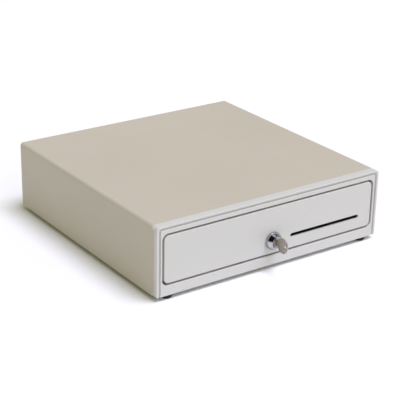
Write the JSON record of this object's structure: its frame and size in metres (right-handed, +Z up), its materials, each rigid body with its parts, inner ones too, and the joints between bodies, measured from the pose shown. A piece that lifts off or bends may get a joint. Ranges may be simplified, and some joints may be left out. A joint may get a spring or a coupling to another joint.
{
  "type": "cash drawer",
  "caption": "Low square steel cash drawer case with a moulded front, key lock, cheque slot, ball slides, till tray with coin cups and note clips, and an electric latch.",
  "frame": {"origin": "on the floor, under the middle of the part's own box", "axes": "+X to the right seen from the front, +Y back into the case, +Z up; the drawer opens towards -Y"},
  "size_m": [0.41, 0.4404, 0.115],
  "materials": {
    "beige_steel": "fine textured powder coat",
    "cream_plastic": "lightly textured moulding",
    "cream_front": "lightly textured moulding",
    "rubber": "moulded rubber",
    "screw_steel": "zinc plated",
    "zinc_sheet": "galvanised sheet",
    "slide_steel": "bright zinc",
    "ball_steel": "polished",
    "black_plastic": "moulded",
    "tray_plastic": "fine grained black moulding",
    "white_plastic": "moulded nylon",
    "copper": "enamelled copper wire",
    "lock_chrome": "polished chrome",
    "key_nickel": "worn nickel silver",
    "spring_steel": "drawn wire"
  },
  "bodies": {
    "case": {"case_cover": "beige_steel", "base_plate": "zinc_sheet", "rear_panel": "beige_steel", "front_bezel": "cream_plastic", "rubber_feet": "rubber", "foot_screws": "screw_steel", "rear_screws": "screw_steel", "rail_brackets": "zinc_sheet", "outer_rails": "slide_steel", "lock_keeper": "zinc_sheet", "latch_bracket": "zinc_sheet", "bracket_rivets": "screw_steel", "solenoid_frame": "zinc_sheet", "coil_bobbin": "white_plastic", "solenoid_coil": "copper", "hook_pin": "screw_steel", "pin_spacers": "black_plastic", "hook_spring": "spring_steel", "microswitch": "black_plastic", "kick_seat": "black_plastic", "kick_spring": "spring_steel", "cable_socket": "black_plastic", "terminal_block": "white_plastic", "wire_harness": "rubber"},
    "drawer": {"drawer_front": "cream_front", "drawer_pan": "zinc_sheet", "inner_rails": "slide_steel", "striker": "screw_steel", "cheque_chute": "black_plastic", "front_screws": "screw_steel", "tray_ledges": "zinc_sheet", "till_tray": "tray_plastic", "note_dividers": "tray_plastic", "coin_tray": "tray_plastic", "clip_rod": "slide_steel", "clip_springs": "spring_steel", "rod_bush": "black_plastic", "lock_housing": "lock_chrome", "lock_nut": "screw_steel"},
    "slide_balls_left": {"ball_cage_left": "zinc_sheet", "balls_left": "ball_steel"},
    "slide_balls_right": {"ball_cage_right": "zinc_sheet", "balls_right": "ball_steel"},
    "lock_barrel": {"lock_plug": "key_nickel", "lock_cam": "screw_steel", "cam_nut": "screw_steel", "lock_rod": "screw_steel"},
    "key": {"key": "key_nickel"},
    "hook": {"latch_hook": "screw_steel"},
    "armature": {"plunger": "slide_steel", "link_pin": "screw_steel"},
    "lever": {"switch_lever": "spring_steel"},
    "opening_cap": {"kick_cap": "black_plastic"},
    "clip_1": {"note_clip_1": "black_plastic"},
    "clip_2": {"note_clip_2": "black_plastic"},
    "clip_3": {"note_clip_3": "black_plastic"},
    "clip_4": {"note_clip_4": "black_plastic"},
    "clip_5": {"note_clip_5": "black_plastic"}
  },
  "joints": [
    {"name": "drawer_slide", "type": "slide", "parent": "case", "child": "drawer", "axis": [0, -1, 0], "range_m": [0, 0.3]},
    {"name": "balls_left_roll", "type": "slide", "parent": "case", "child": "slide_balls_left", "axis": [0, -1, 0], "range_m": [0, 0.15]},
    {"name": "balls_right_roll", "type": "slide", "parent": "case", "child": "slide_balls_right", "axis": [0, -1, 0], "range_m": [0, 0.15]},
    {"name": "lock_turn", "type": "hinge", "parent": "drawer", "child": "lock_barrel", "pos_m": [0, -0.18425, 0.0465], "axis": [0, 1, 0], "range_deg": [-90, 70]},
    {"name": "key_pull", "type": "slide", "parent": "lock_barrel", "child": "key", "axis": [0, -1, 0], "range_m": [0, 0.03]},
    {"name": "hook_lift", "type": "hinge", "parent": "case", "child": "hook", "pos_m": [0, 0.19575, 0.0585], "axis": [-1, 0, 0], "range_deg": [0, 18], "stiffness_Nm_per_rad": 0.25, "springref_deg": -6.88, "deforming": ["hook_spring"]},
    {"name": "armature_pull", "type": "slide", "parent": "case", "child": "armature", "axis": [0, 0, 1], "range_m": [0, 0.0058]},
    {"name": "switch_press", "type": "hinge", "parent": "case", "child": "lever", "pos_m": [-0.028, 0.18675, 0.0605], "axis": [-1, 0, 0], "range_deg": [0, 29.2]},
    {"name": "cap_push", "type": "slide", "parent": "case", "child": "opening_cap", "axis": [0, -1, 0], "range_m": [0, 0.03], "deforming": ["kick_spring"]},
    {"name": "clip_1_lift", "type": "hinge", "parent": "drawer", "child": "clip_1", "pos_m": [-0.14528, 0.13375, 0.0885], "axis": [-1, 0, 0], "range_deg": [0, 42], "stiffness_Nm_per_rad": 0.04, "springref_deg": -20.05},
    {"name": "clip_2_lift", "type": "hinge", "parent": "drawer", "child": "clip_2", "pos_m": [-0.07264, 0.13375, 0.0885], "axis": [-1, 0, 0], "range_deg": [0, 42], "stiffness_Nm_per_rad": 0.04, "springref_deg": -20.05},
    {"name": "clip_3_lift", "type": "hinge", "parent": "drawer", "child": "clip_3", "pos_m": [0, 0.13375, 0.0885], "axis": [-1, 0, 0], "range_deg": [0, 42], "stiffness_Nm_per_rad": 0.04, "springref_deg": -20.05},
    {"name": "clip_4_lift", "type": "hinge", "parent": "drawer", "child": "clip_4", "pos_m": [0.07264, 0.13375, 0.0885], "axis": [-1, 0, 0], "range_deg": [0, 42], "stiffness_Nm_per_rad": 0.04, "springref_deg": -20.05},
    {"name": "clip_5_lift", "type": "hinge", "parent": "drawer", "child": "clip_5", "pos_m": [0.14528, 0.13375, 0.0885], "axis": [-1, 0, 0], "range_deg": [0, 42], "stiffness_Nm_per_rad": 0.04, "springref_deg": -20.05}
  ],
  "couplings": [
    {"joint": "balls_left_roll", "follows": "drawer_slide", "ratio": 0.5},
    {"joint": "balls_right_roll", "follows": "drawer_slide", "ratio": 0.5},
    {"joint": "cap_push", "follows": "drawer_slide", "ratio": 0.1},
    {"joint": "armature_pull", "follows": "hook_lift", "m_per_rad": 0.018},
    {"joint": "switch_press", "follows": "hook_lift", "ratio": 1.61}
  ]
}
